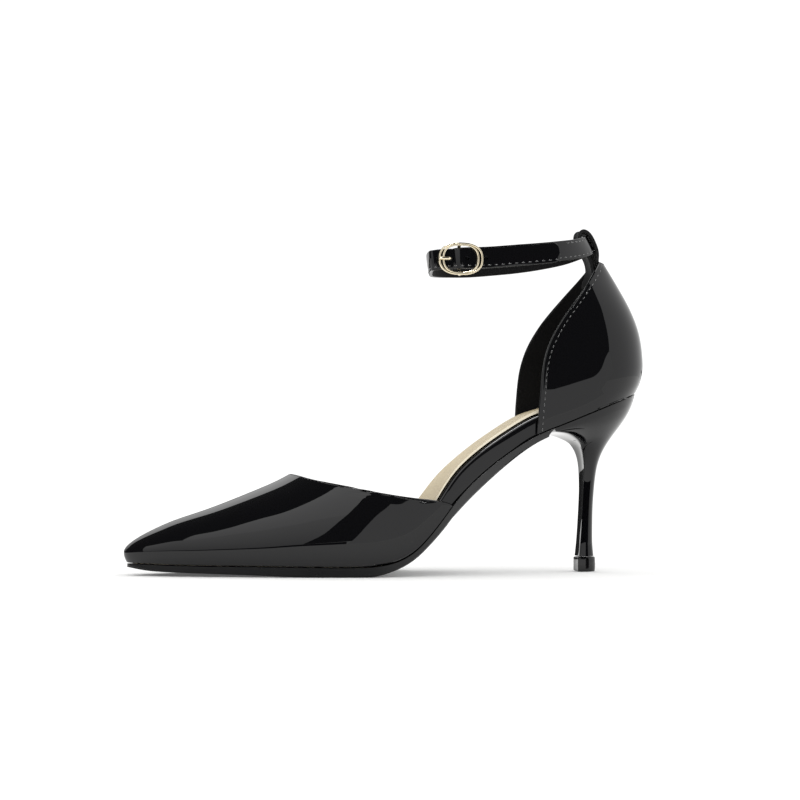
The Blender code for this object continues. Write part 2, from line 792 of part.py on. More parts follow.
def make_buckle_frame(material):
    turn = np.linspace(0.0, 2 * math.pi, RING_POINTS, endpoint=False)
    power = 2.0 / RING_SQUARE
    x = (RING_LENGTH / 2 - RING_WIRE) * np.sign(np.cos(turn)) * np.abs(np.cos(turn)) ** power
    z = (RING_HEIGHT / 2 - RING_WIRE) * np.sign(np.sin(turn)) * np.abs(np.sin(turn)) ** power
    oval = np.column_stack([x, np.zeros_like(x), z])
    oval = resample(np.vstack([oval, oval[:1]]), count=RING_POINTS)[:-1]
    bm = loft(tube(oval, RING_WIRE, closed=True), capped=False)
    close_rings(bm)
    frame = finish("buckle_frame", bm, material)
    reach = RING_HEIGHT / 2 - RING_WIRE
    depth = BAR_Y - RING_Y
    arm = [
        (0.0, 0.0, reach),
        (0.0, depth - BAR_CORNER, reach),
        (0.0, depth - BAR_CHAMFER, reach - BAR_CHAMFER),
        (0.0, depth, reach - BAR_CORNER),
    ]
    path = arm + [(x, y, -z) for x, y, z in arm[::-1]]
    bar = finish("buckle_bar_shape", loft(tube(path, BAR_WIRE)), material)
    bar.hide_render = True
    bar.display_type = "WIRE"
    join = frame.modifiers.new("bar", "BOOLEAN")
    join.operation = "UNION"
    join.solver = "EXACT"
    join.object = bar
    return frame, bar


def make_buckle_prong(material):
    """Prong hooked on the bar, out through the strap and over the ring."""
    depth = BAR_Y - RING_Y
    hook = BAR_WIRE + GAP + PRONG_WIRE
    turn = np.radians(np.linspace(*PRONG_HOOK, PRONG_POINTS))
    path = [(hook * math.cos(a), depth + hook * math.sin(a), 0.0) for a in turn]
    path += [(row.x, row.y, 0.0) for row in PRONG_ROUTE]
    return finish("buckle_prong", loft(tube(spline(path, PRONG_STEP), PRONG_WIRE)), material)


def make_prong_slot():
    """Cutter that opens the folded end of the strap round the prong's hook."""
    bm = bmesh.new()
    bmesh.ops.create_cube(bm, size=1.0)
    bmesh.ops.scale(bm, vec=Vector((SLOT_LENGTH, SLOT_DEPTH, SLOT)), verts=bm.verts)
    return finish("prong_slot", bm, None)


def make_prong_hole():
    """Cutter for the hole where the prong comes out of the strap."""
    bm = bmesh.new()
    radius = SLOT / 2
    bmesh.ops.create_cone(
        bm, cap_ends=True, segments=HOLE_SIDES, radius1=radius, radius2=radius, depth=HOLE_DEPTH
    )
    return finish("prong_hole", bm, None)


def build():
    for old in list(bpy.data.objects):
        bpy.data.objects.remove(old, do_unlink=True)

    patent = make_material("black_patent_leather", (0.006, 0.006, 0.007), 0.06)
    lining = make_material("black_lining", (0.012, 0.012, 0.013), 0.6)
    sole = make_material("black_sole", (0.012, 0.012, 0.012), 0.45)
    sock = make_material("beige_sock", (0.70, 0.58, 0.39), 0.6)
    lacquer = make_material("black_heel_lacquer", (0.008, 0.008, 0.009), 0.1)
    rubber = make_material("black_tip", (0.015, 0.015, 0.016), 0.4)
    gold = make_material("pale_gold", (0.86, 0.70, 0.43), 0.15, metallic=1.0)

    shoe = bpy.data.objects.new("shoe", None)
    bpy.context.scene.collection.objects.link(shoe)

    pieces = [
        make_outsole(sole),
        make_vamp(patent),
        make_heel_counter(patent),
        make_waist_rand(patent),
        make_insole(sock),
        make_heel(lacquer),
        make_top_piece(rubber),
        make_strap_loop(lining),
    ]
    strap = make_ankle_strap(patent)
    pieces.append(strap)

    frame, bar = make_buckle_frame(gold)
    prong = make_buckle_prong(gold)
    seat = Vector((BAR_X * MM, RING_Y * MM, RING_Z * MM))
    for piece in (frame, bar, prong):
        piece.location = seat
    pieces += [frame, bar, prong]

    slot = make_prong_slot()
    slot.location = (BAR_X * MM, BAR_Y * MM, RING_Z * MM)
    hole = make_prong_hole()
    hole.location = seat + Vector((*HOLE_PLACE, 0.0)) * MM
    hole.rotation_euler = (math.radians(90.0), 0.0, math.radians(HOLE_TURN))
    for cutter in (slot, hole):
        cut(strap, cutter)
    pieces += [slot, hole]

    for piece in pieces:
        piece.parent = shoe


build()
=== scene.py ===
import math

import bmesh
import bpy
from mathutils import Matrix, Vector
from mathutils.bvhtree import BVHTree
from mathutils.geometry import interpolate_bezier


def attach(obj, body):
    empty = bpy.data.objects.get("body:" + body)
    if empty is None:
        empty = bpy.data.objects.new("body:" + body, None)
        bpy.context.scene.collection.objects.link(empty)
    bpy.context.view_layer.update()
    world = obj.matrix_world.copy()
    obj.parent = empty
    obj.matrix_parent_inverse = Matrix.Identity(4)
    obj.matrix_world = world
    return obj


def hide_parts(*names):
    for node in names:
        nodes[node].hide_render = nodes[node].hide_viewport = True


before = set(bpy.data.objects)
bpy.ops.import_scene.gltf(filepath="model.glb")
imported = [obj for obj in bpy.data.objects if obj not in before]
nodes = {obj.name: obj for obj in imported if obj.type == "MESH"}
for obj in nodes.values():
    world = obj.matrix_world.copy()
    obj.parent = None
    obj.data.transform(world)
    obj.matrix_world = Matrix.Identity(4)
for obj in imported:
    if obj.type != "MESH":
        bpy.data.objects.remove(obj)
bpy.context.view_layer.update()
mm = 0.001
print("frame loaded,", len(nodes), "nodes")


# small tools for nodes and colours

def hexColour(code):
    parts = [int(code[i:i + 2], 16) / 255 for i in (1, 3, 5)]
    linear = [c / 12.92 if c <= 0.04045 else ((c + 0.055) / 1.055) ** 2.4 for c in parts]
    return (*linear, 1.0)


def addNode(tree, kind, settings=None, inputs=None):
    made = tree.nodes.new(kind)
    for name, value in (settings or {}).items():
        setattr(made, name, value)
    for socket, value in (inputs or {}).items():
        if isinstance(value, bpy.types.NodeSocket):
            tree.links.new(value, made.inputs[socket])
        else:
            made.inputs[socket].default_value = value
    return made


def newMaterial(name, sockets):
    material = bpy.data.materials.new(name)
    material.use_nodes = True
    shader = material.node_tree.nodes["Principled BSDF"]
    for socket, value in sockets.items():
        shader.inputs[socket].default_value = value
    return material


# patent leather: split leather under a poured polyurethane film, so the eye gets
# black depth, a mirror coat and slow waves where the skin is pulled over the last
patentLook = {
    "base": "#08080a", "coatRoughness": 0.016, "waveLength": 30 * mm, "waveDepth": 0.34 * mm,
    "peelLength": 2.4 * mm, "peelDepth": 0.0016 * mm,
    "troughPlace": 2.1 * mm, "troughWidth": 0.6 * mm, "troughDepth": 0.06 * mm,
}


def patentLeather(name, pull=1.0, seam=False):
    look = patentLook
    material = newMaterial(name, {
        "Base Color": hexColour(look["base"]), "Roughness": 0.42, "Specular IOR Level": 0.0, "IOR": 1.5,
        "Coat Weight": 1.0, "Coat Roughness": look["coatRoughness"], "Coat IOR": 1.45,
    })
    tree = material.node_tree
    place = addNode(tree, "ShaderNodeTexCoord").outputs["Object"]
    waves = addNode(tree, "ShaderNodeTexNoise", None, {
        "Vector": place, "Scale": 1 / look["waveLength"], "Detail": 1.0, "Roughness": 0.4})
    peel = addNode(tree, "ShaderNodeTexNoise", None, {
        "Vector": place, "Scale": 1 / look["peelLength"], "Detail": 0.0})
    bump = addNode(tree, "ShaderNodeBump", None, {
        "Height": waves.outputs["Fac"], "Distance": look["waveDepth"] * pull, "Strength": 1.0})
    bump = addNode(tree, "ShaderNodeBump", None, {
        "Height": peel.outputs["Fac"], "Distance": look["peelDepth"], "Strength": 1.0,
        "Normal": bump.outputs["Normal"]})
    if seam:  # the thread pulls a soft trough into the leather along the seam
        gap = addNode(tree, "ShaderNodeAttribute", {"attribute_name": "seamGap"}).outputs["Fac"]
        off = addNode(tree, "ShaderNodeMath", {"operation": "SUBTRACT"}, {0: gap, 1: look["troughPlace"]})
        off = addNode(tree, "ShaderNodeMath", {"operation": "ABSOLUTE"}, {0: off.outputs[0]})
        dip = addNode(tree, "ShaderNodeMapRange", {"interpolation_type": "SMOOTHERSTEP"}, {
            "Value": off.outputs[0], "From Min": 0.0, "From Max": look["troughWidth"]})
        bump = addNode(tree, "ShaderNodeBump", None, {
            "Height": dip.outputs["Result"], "Distance": look["troughDepth"], "Strength": 1.0,
            "Normal": bump.outputs["Normal"]})
    shader = tree.nodes["Principled BSDF"]
    tree.links.new(bump.outputs["Normal"], shader.inputs["Normal"])
    tree.links.new(bump.outputs["Normal"], shader.inputs["Coat Normal"])
    return material


# grained materials share one build: colour drift, grain bump and roughness drift
def grained(name, sockets, colours, grain, depth, drift, rough):
    material = newMaterial(name, sockets)
    tree = material.node_tree
    shader = tree.nodes["Principled BSDF"]
    place = addNode(tree, "ShaderNodeTexCoord").outputs["Object"]
    cloud = addNode(tree, "ShaderNodeTexNoise", None, {"Vector": place, "Scale": 1 / drift, "Detail": 3.0})
    tint = addNode(tree, "ShaderNodeMix", {"data_type": "RGBA"}, {  # 6 and 7 are its two colours
        0: cloud.outputs["Fac"], 6: hexColour(colours[0]), 7: hexColour(colours[1])})
    tree.links.new(tint.outputs[2], shader.inputs["Base Color"])
    pores = addNode(tree, "ShaderNodeTexVoronoi", {"feature": "SMOOTH_F1"}, {
        "Vector": place, "Scale": 1 / grain, "Smoothness": 0.6})
    bump = addNode(tree, "ShaderNodeBump", None, {
        "Height": pores.outputs["Distance"], "Distance": depth, "Strength": 1.0})
    tree.links.new(bump.outputs["Normal"], shader.inputs["Normal"])
    shine = addNode(tree, "ShaderNodeMapRange", None, {
        "Value": cloud.outputs["Fac"], "To Min": rough[0], "To Max": rough[1]})
    tree.links.new(shine.outputs["Result"], shader.inputs["Roughness"])
    return material


patent = patentLeather("patentLeather")
patentFlat = patentLeather("patentLeatherFlat", pull=0.12)  # glued on a flat board
patentSewn = patentLeather("patentLeatherSewn", seam=True)

# microfibre lining: brushed, so it stays nearly black from every side
lining = grained("microfibreLining", {"Specular IOR Level": 0.12, "Sheen Weight": 0.06}, ("#0a0a0b", "#101011"),
                 grain=0.9 * mm, depth=0.03 * mm, drift=14 * mm, rough=(0.72, 0.88))

# folded leather tab, dressed matt with a fine grain
mattLeather = grained("mattLeather", {"Specular IOR Level": 0.22}, ("#0b0b0c", "#131314"),
                      grain=0.7 * mm, depth=0.04 * mm, drift=9 * mm, rough=(0.5, 0.64))

# cut edges sealed with satin edge paint
edgePaint = grained("edgePaint", {"Specular IOR Level": 0.4}, ("#090909", "#101010"),
                    grain=1.2 * mm, depth=0.02 * mm, drift=8 * mm, rough=(0.24, 0.36))

# polyurethane sole unit, satin from the mould, its waist burnished brighter than the tread
soleResin = grained("soleResin", {"Specular IOR Level": 0.24}, ("#08080a", "#0e0e0f"),
                    grain=0.8 * mm, depth=0.012 * mm, drift=20 * mm, rough=(0.24, 0.32))
soleTree = soleResin.node_tree  # the level above stands in wherever the link below is not read
solePlace = addNode(soleTree, "ShaderNodeTexCoord").outputs["Object"]
soleAlong = addNode(soleTree, "ShaderNodeSeparateXYZ", None, {"Vector": solePlace}).outputs["X"]
burnish = addNode(soleTree, "ShaderNodeMapRange", None, {
    "Value": soleAlong, "From Min": -12 * mm, "From Max": 30 * mm, "To Min": 0.2, "To Max": 0.68})
soleTree.links.new(burnish.outputs["Result"], soleTree.nodes["Principled BSDF"].inputs["Specular IOR Level"])

# sock of smooth pale synthetic leather, with a fine printed grain drawn a little coarse to show
sockLeather = grained("sockLeather", {"Specular IOR Level": 0.35}, ("#e0d0ad", "#d0bf9a"),
                      grain=1.6 * mm, depth=0.07 * mm, drift=18 * mm, rough=(0.4, 0.56))

# its side faces, coloured paler and duller than the top, which gives a light line along the edge
sockEdge = grained("sockCutEdge", {"Specular IOR Level": 0.2}, ("#f2ead6", "#e9dec5"),
                   grain=0.5 * mm, depth=0.02 * mm, drift=9 * mm, rough=(0.6, 0.75))

# sprayed lacquer on the moulded heel, levelled to a mirror
heelLacquer = patentLeather("heelLacquer", pull=0.1)

# hard wearing tip, with a slight gloss from the mould
tipRubber = grained("tipRubber", {"Specular IOR Level": 0.5}, ("#070708", "#0c0c0d"),
                    grain=0.6 * mm, depth=0.008 * mm, drift=6 * mm, rough=(0.12, 0.2))

# bonded nylon thread with a waxy shine
thread = grained("nylonThread", {
    "Specular IOR Level": 0.8, "Coat Weight": 1.0, "Coat Roughness": 0.12, "Coat IOR": 1.62}, ("#121213", "#1e1f20"),
    grain=0.3 * mm, depth=0.03 * mm, drift=3 * mm, rough=(0.18, 0.28))

# pale gold plate over a polished casting
paleGold = grained("paleGoldPlate", {"Metallic": 1.0}, ("#fbf2dc", "#f3e4c0"),
                   grain=3 * mm, depth=0.0003 * mm, drift=7 * mm, rough=(0.08, 0.14))
print("materials made")


# small tools for shapes

def ramp(value, start, end):
    # 0 before the start and 1 past the end, which are in millimetres
    return min(max((value / mm - start) / (end - start), 0), 1)


def copyNode(name):
    bm = bmesh.new()
    bm.from_mesh(nodes[name].data)
    bmesh.ops.remove_doubles(bm, verts=bm.verts, dist=0.001 * mm)
    bmesh.ops.join_triangles(bm, faces=bm.faces, angle_face_threshold=math.radians(30),
                             angle_shape_threshold=math.radians(60))
    bm.normal_update()
    return bm


def keepSkin(bm, seed, sharp=45):
    # spread from the face nearest the seed and stop at sharp edges
    start = min(bm.faces, key=lambda f: (f.calc_center_median() - Vector(seed) * mm).length)
    kept, waiting = {start}, [start]
    while waiting:
        for edge in waiting.pop().edges:
            if len(edge.link_faces) == 2 and edge.calc_face_angle() < math.radians(sharp):
                fresh = [f for f in edge.link_faces if f not in kept]
                kept.update(fresh)
                waiting += fresh
    bmesh.ops.delete(bm, geom=[f for f in bm.faces if f not in kept], context="FACES")


def sharpEdges(bm, degrees):
    return [e for e in bm.edges if len(e.link_faces) == 2 and e.calc_face_angle() > math.radians(degrees)]


def roundEdges(bm, edges, radius, segments, clamp=True):
    bmesh.ops.bevel(bm, geom=edges, offset=radius, offset_type="OFFSET", segments=segments,
                    profile=0.5, affect="EDGES", material=-1, clamp_overlap=clamp)


def meshObject(name, bm, materials=()):
    mesh = bpy.data.meshes.new(name)
    bm.to_mesh(mesh)
    bm.free()
    for material in materials:
        mesh.materials.append(material)
    made = bpy.data.objects.new(name, mesh)
    bpy.context.scene.collection.objects.link(made)
    return made


def addPiece(name, bm, materials, replaced=()):
    piece = meshObject(name, bm, materials)
    piece.data.shade_smooth()
    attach(piece, "root")
    if replaced:
        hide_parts(*replaced)
    return piece


def subdivide(piece, levels):
    smooth = piece.modifiers.new("smooth", "SUBSURF")
    smooth.levels = levels
    smooth.render_levels = levels
    smooth.boundary_smooth = "PRESERVE_CORNERS"


def addWall(piece, sizes):
    wall = piece.modifiers.new("wall", "SOLIDIFY")
    wall.thickness = sizes["wall"]
    wall.offset = sizes.get("offset", -1)
    wall.use_even_offset = True
    wall.material_offset = 1
    wall.material_offset_rim = 2


def foldEdges(piece, sizes):
    edge = piece.modifiers.new("foldedEdge", "BEVEL")
    edge.width = sizes["edgeRound"]
    edge.segments = 3
    edge.limit_method = "ANGLE"
    edge.angle_limit = math.radians(55)
    edge.harden_normals = True
    edge.use_clamp_overlap = False


def smoothLine(points, steps):
    # curve through the points, with handles from their neighbours
    line = []
    for i in range(len(points) - 1):
        a, b = points[i], points[i + 1]
        before = points[max(i - 1, 0)]
        after = points[min(i + 2, len(points) - 1)]
        part = interpolate_bezier(a, a + (b - before) / 6, b - (after - a) / 6, b, steps + 1)
        line += part[:-1]
    return line + [points[-1]]


def evenPoints(line, pitch):
    # points one pitch apart along a fine line
    found, left = [line[0]], pitch
    for a, b in zip(line, line[1:]):
        length = (b - a).length
        while length >= left:
            a = a + (b - a) * (left / length)
            found.append(a)
            length = (b - a).length
            left = pitch
        left -= length
    return found


def arcPoints(centre, radius, degrees):
    turns = [math.radians(a) for a in degrees]
    return [Vector((centre[0] + radius * math.cos(a), centre[1] + radius * math.sin(a), 0)) for a in turns]


# front half of the upper: the topline is folded in with a full round, the other rims are only softened
vampSizes = {
    "wall": 1.6 * mm, "seed": (-20, -38, 12), "levels": 2, "foldFacing": 0.25,
    "rims": {"fold": (1.3 * mm, 6), "feather": (0.55 * mm, 3), "inside": (0.22 * mm, 2)},  # radius and segments
}
bm = copyNode("vamp")
keepSkin(bm, vampSizes["seed"])
vamp = addPiece("vampUpper", bm, (patent, lining, patent), ("vamp",))
subdivide(vamp, vampSizes["levels"])
addWall(vamp, vampSizes)
bm = bmesh.new()
bm.from_object(vamp, bpy.context.evaluated_depsgraph_get())
vamp.modifiers.clear()
bm.normal_update()
rims = {kind: [] for kind in vampSizes["rims"]}
for e in bm.edges:  # faces outside are 0, lining 1, rim 2
    sides = sorted(f.material_index for f in e.link_faces)
    if sides == [0, 2]:
        rim = max(e.link_faces, key=lambda f: f.material_index)
        rims["fold" if rim.normal.z > vampSizes["foldFacing"] else "feather"].append(e)
    elif sides == [1, 2]:
        rims["inside"].append(e)
for kind, (radius, segments) in vampSizes["rims"].items():
    roundEdges(bm, [e for e in rims[kind] if e.is_valid], radius, segments, clamp=False)
bm.to_mesh(vamp.data)
bm.free()
vamp.data.shade_smooth()
print("vamp skin made,", len(vamp.data.polygons), "faces")

# rear half of the upper, sewn along its front edges
counterSizes = {
    "wall": 1.6 * mm, "edgeRound": 0.55 * mm, "seed": (85, -26, 88), "levels": 2,
    "front": ((62.2, 60.3), (62.6, 69.0), (63.4, 79.0), (64.4, 89.0), (67.2, 99.2), (74.0, 111.2),
              (83.5, 123.2), (91.0, 132.6), (95.2, 138.4)),
}
frontLine = smoothLine([Vector((x, 0, z)) * mm for x, z in counterSizes["front"]], 12)
bm = copyNode("heel_counter")
keepSkin(bm, counterSizes["seed"])
seamGap = bm.verts.layers.float.new("seamGap")
for v in bm.verts:
    v[seamGap] = min((Vector((v.co.x, 0, v.co.z)) - p).length for p in frontLine)
counter = addPiece("heelCounterUpper", bm, (patentSewn, lining, patent), ("heel_counter",))
subdivide(counter, counterSizes["levels"])
addWall(counter, counterSizes)
foldEdges(counter, counterSizes)
print("counter skin made")

# board under the foot, wrapped in patent leather over a rounded upper edge that curls up behind the vamp
randSizes = {
    "topRound": 2.8 * mm, "edgeRound": 0.4 * mm, "roundFrom": 14 * mm, "curl": 3.4 * mm, "across": (8, 24),
    "along": ((2, 0), (10, 0.5), (19, 1), (27, 0.85), (36, 0.5), (45, 0.26), (54, 0.1), (66, 0)),
    "upperFacing": 0.4, "topFacing": 0.5, "sideFacing": 0.7,
}


def edgeCurl(spot):
    # lift of the board and the sock near their edges
    share = 0.0
    for (a, low), (b, high) in zip(randSizes["along"], randSizes["along"][1:]):
        if a * mm <= spot.x <= b * mm:
            share = low + (high - low) * ramp(spot.x, a, b)
    return randSizes["curl"] * share * ramp(abs(spot.y), *randSizes["across"]) ** 2


bm = copyNode("waist_rand")
for v in bm.verts:  # only the upper side curls
    if max(f.normal.z for f in v.link_faces) > randSizes["upperFacing"]:
        v.co.z += edgeCurl(v.co)
bm.normal_update()
topEdges = [e for e in sharpEdges(bm, 40)
            if max(abs(f.normal.y) for f in e.link_faces) > randSizes["sideFacing"]
            and max(f.normal.z for f in e.link_faces) > randSizes["topFacing"]
            and min(v.co.x for v in e.verts) > randSizes["roundFrom"]]
roundEdges(bm, topEdges, randSizes["topRound"], 5, clamp=False)
roundEdges(bm, sharpEdges(bm, 60), randSizes["edgeRound"], 2)
rand = addPiece("wrappedBoard", bm, (patentFlat,), ("waist_rand",))
subdivide(rand, 1)

# beige sock glued on the board, drawn in at the waist so the rolled edge of the board shows beside it
sockSizes = {
    "edgeRound": 0.35 * mm, "cutFacing": 0.75,
    "drawnIn": 1.5 * mm, "across": (8, 18), "from": (4, 18), "to": (58, 66),
}
bm = copyNode("insole")
for v in bm.verts:
    waist = ramp(v.co.x, *sockSizes["from"]) - ramp(v.co.x, *sockSizes["to"])
    inward = sockSizes["drawnIn"] * ramp(abs(v.co.y), *sockSizes["across"]) * waist
    v.co.z += edgeCurl(v.co)
    v.co.y -= math.copysign(inward, v.co.y)
roundEdges(bm, sharpEdges(bm, 50), sockSizes["edgeRound"], 3)
bm.normal_update()
for f in bm.faces:  # pale cut edge
    f.material_index = 1 if abs(f.normal.y) > sockSizes["cutFacing"] else 0
sock = addPiece("sockLining", bm, (sockLeather, sockEdge), ("insole",))
subdivide(sock, 1)

# sole, from the toe to the breast of the heel, pared thinner towards the breast and run on until it meets the heel
soleSizes = {
    "treadRound": 0.9 * mm, "edgeRound": 0.35 * mm, "treadFacing": -0.6,
    "skive": 1.3 * mm, "pared": (40, 66), "runOn": Vector((0.5, 0, 0.25)) * mm, "end": (58, 65),
}
bm = copyNode("outsole")
for v in bm.verts:
    if min(f.normal.z for f in v.link_faces) < soleSizes["treadFacing"]:
        v.co.z += soleSizes["skive"] * ramp(v.co.x, *soleSizes["pared"])
    v.co += soleSizes["runOn"] * ramp(v.co.x, *soleSizes["end"])
bm.normal_update()
treadEdges = [e for e in sharpEdges(bm, 30) if min(f.normal.z for f in e.link_faces) < soleSizes["treadFacing"]]
roundEdges(bm, treadEdges, soleSizes["treadRound"], 4)
roundEdges(bm, sharpEdges(bm, 30), soleSizes["edgeRound"], 2)
sole = addPiece("soleUnit", bm, (soleResin,), ("outsole",))
subdivide(sole, 1)

# heel and its tip
heelSizes = {"edgeRound": 0.5 * mm, "tipRound": 0.25 * mm}
bm = copyNode("heel")
roundEdges(bm, sharpEdges(bm, 50), heelSizes["edgeRound"], 3)
heel = addPiece("stilettoHeel", bm, (heelLacquer,), ("heel",))
subdivide(heel, 2)
bm = copyNode("top_piece")
roundEdges(bm, sharpEdges(bm, 50), heelSizes["tipRound"], 2)
tip = addPiece("heelTip", bm, (tipRubber,), ("top_piece",))
subdivide(tip, 1)

# tab folded over the strap, its inner end spread out inside the counter: (along, half width, height)
tabSizes = {
    "wall": 1.6 * mm, "offset": 0, "edgeRound": 0.4 * mm, "half": 5.0, "bow": 0.045, "spreadBow": 0.01,
    "route": ((98.2, 5.0, 130.5), (96.3, 5.0, 134.2), (95.3, 5.0, 138.4), (95.6, 5.0, 143.0), (94.0, 5.0, 147.6),
              (92.1, 5.0, 151.0), (89.9, 5.0, 152.5), (88.2, 5.0, 152.0), (87.5, 5.0, 149.8), (88.6, 5.0, 146.2),
              (90.0, 5.0, 143.6), (91.5, 5.0, 141.2), (92.6, 5.0, 138.6), (93.5, 5.4, 136.0), (94.7, 6.6, 133.2),
              (96.2, 8.2, 130.2), (97.8, 9.0, 127.4)),
}
tabLine = smoothLine([Vector(p) for p in tabSizes["route"]], 2)
tabLast = len(tabLine) - 1
bm = bmesh.new()
bmesh.ops.create_grid(bm, x_segments=8, y_segments=tabLast, size=1.0)
for v in bm.verts:
    spot = tabLine[round((v.co.y + 1) / 2 * tabLast)]
    across = v.co.x * spot.y
    bow = tabSizes["bow"] + tabSizes["spreadBow"] * (spot.y - tabSizes["half"])
    v.co = Vector((spot.x - bow * across ** 2, across, spot.z)) * mm
tab = addPiece("foldedTab", bm, (mattLeather,), ("strap_loop",))
subdivide(tab, 1)
addWall(tab, tabSizes)
foldEdges(tab, tabSizes)
print("board, sock, sole, heel and tab made")

# ankle strap: from the flap behind the bar round the ankle, through the tab and back over itself
strapSizes = {
    "width": 8.8 * mm, "wall": 1.4 * mm, "offset": 0, "edgeRound": 0.42 * mm, "crown": 0.2 * mm, "pitch": 0.5 * mm,
    "tip": 2.4 * mm, "blunt": 0.97, "freeShare": 0.7, "drop": 0.7 * mm, "dropAlong": (18, 30),
    "bar": (27.4, -26.4), "fold": 1.75, "flap": ((37.0, -25.45), (33.0, -25.25)),
    "route": ((33.0, -27.3), (40.0, -27.0), (48.0, -26.8), (60.0, -26.0), (72.0, -22.6), (82.5, -15.6),
              (89.4, -7.6), (91.9, 0.0), (89.4, 7.6), (83.0, 15.0), (72.0, 21.4), (58.0, 25.0), (43.0, 25.0),
              (30.0, 20.4), (22.6, 12.4), (19.4, 2.0), (17.6, -8.0), (16.2, -17.0), (15.4, -24.0), (15.2, -27.0),
              (15.2, -28.2), (15.43, -28.77), (16.0, -29.0), (18.0, -29.05), (22.0, -29.1), (24.6, -29.15),
              (25.6, -29.35), (27.6, -29.98), (28.8, -30.05), (32.0, -29.85), (40.0, -29.0), (48.0, -28.6),
              (58.0, -28.3), (66.0, -27.8), (72.2, -27.0)),
    "rise": ((10.0, 135.2), (15.0, 135.6), (21.0, 136.5), (30.0, 137.3), (41.0, 137.9), (54.0, 139.1),
             (63.0, 140.0), (72.0, 141.2), (81.5, 142.9), (87.0, 144.5), (92.0, 146.7), (96.0, 148.8)),
    "holes": ((17.0, -29.0, 0.9), (23.6, -29.15, 0.72), (30.2, -29.9, 0.95), (38.4, -29.15, 0.95)),
    "punchLength": 2.2 * mm, "punchOut": 1.0 * mm,
}
riseLine = smoothLine([Vector((x, 0, z)) * mm for x, z in strapSizes["rise"]], 10)
strapPoints = [Vector((x, y, 0)) for x, y in strapSizes["flap"]]
strapPoints += arcPoints(strapSizes["bar"], strapSizes["fold"], [90 + 22.5 * i for i in range(9)])
strapPoints += [Vector((x, y, 0)) for x, y in strapSizes["route"]]
strapLine = evenPoints(smoothLine([p * mm for p in strapPoints], 10), strapSizes["pitch"])
last = len(strapLine) - 1


def strapRise(x):
    # height and upward direction of the strap above a place along the shoe
    for a, b in zip(riseLine, riseLine[1:]):
        if b.x >= x or b is riseLine[-1]:
            break
    slope = (b.z - a.z) / (b.x - a.x)
    return a.z + slope * (x - a.x), Vector((-slope, 0, 1)).normalized()


def strapStation(i):
    # middle of the strap, its outward side and its upward side
    spot = strapLine[i]
    ahead = strapLine[min(i + 1, last)] - strapLine[max(i - 1, 0)]
    height, upward = strapRise(spot.x)
    if i > len(strapLine) * strapSizes["freeShare"]:  # the free end lies a little lower than the strap under it
        height -= strapSizes["drop"] * ramp(spot.x, *strapSizes["dropAlong"])
    return Vector((spot.x, spot.y, height)), ahead.cross(upward).normalized(), upward


bm = bmesh.new()
bmesh.ops.create_grid(bm, x_segments=4, y_segments=last, size=1.0)
for v in bm.verts:
    across, i = v.co.x, round((v.co.y + 1) / 2 * last)
    middle, outward, upward = strapStation(i)
    taper = max(0.0, 1 - (last - i) * strapSizes["pitch"] / strapSizes["tip"]) * strapSizes["blunt"]
    reach = strapSizes["width"] / 2 * math.sqrt(1 - taper ** 2)
    v.co = middle + upward * across * reach + outward * strapSizes["crown"] * (1 - across ** 2)
bm.normal_update()
bm.faces.ensure_lookup_table()
if bm.faces[0].normal.dot(strapStation(0)[1]) < 0:  # grain side outwards
    bmesh.ops.reverse_faces(bm, faces=bm.faces)
strap = addPiece("ankleStrap", bm, (patent, lining, edgePaint), ("ankle_strap",))
addWall(strap, strapSizes)
foldEdges(strap, strapSizes)

# blind round holes for the prong, cut into the grain side with small cylinders
bm = bmesh.new()
for x, y, radius in strapSizes["holes"]:
    i = min(range(last // 2, last), key=lambda i: (strapLine[i] - Vector((x, y, 0)) * mm).length)
    middle, outward = strapStation(i)[:2]
    turn = outward.to_track_quat("Z", "Y").to_matrix().to_4x4()
    bmesh.ops.create_cone(bm, cap_ends=True, segments=20, radius1=radius * mm, radius2=radius * mm,
                          depth=strapSizes["punchLength"],
                          matrix=Matrix.Translation(middle + outward * strapSizes["punchOut"]) @ turn)
punch = meshObject("punch", bm)
cut = strap.modifiers.new("holes", "BOOLEAN")
cut.object = punch
cut.solver = "EXACT"
punched = bpy.data.meshes.new_from_object(strap.evaluated_get(bpy.context.evaluated_depsgraph_get()))
strap.modifiers.clear()
strap.data = punched
bpy.data.objects.remove(punch)
print("strap made,", len(punched.polygons), "faces")

# buckle, in millimetres: cast ring of two wires that part at its ends, a bar bridged behind it,
# and a prong bent round the bar
buckleSizes = {
    "ring": (27.4, -31.2, 136.4), "outer": (9.35, 6.55), "inner": (7.65, 6.1), "square": 2.5, "wire": 0.46,
    "barDepth": 4.8, "barWire": 0.75, "barBend": (1.2, 0.42), "hook": 1.7, "hookTurns": range(63, 181, 13),
    "prong": ((-3.4, 2.8), (-4.9, -0.4), (-6.4, -1.05), (-8.2, -1.2), (-9.6, -1.2)),
    "prongWire": 0.68, "prongTip": (0.62, 0.5, 0.3),
}


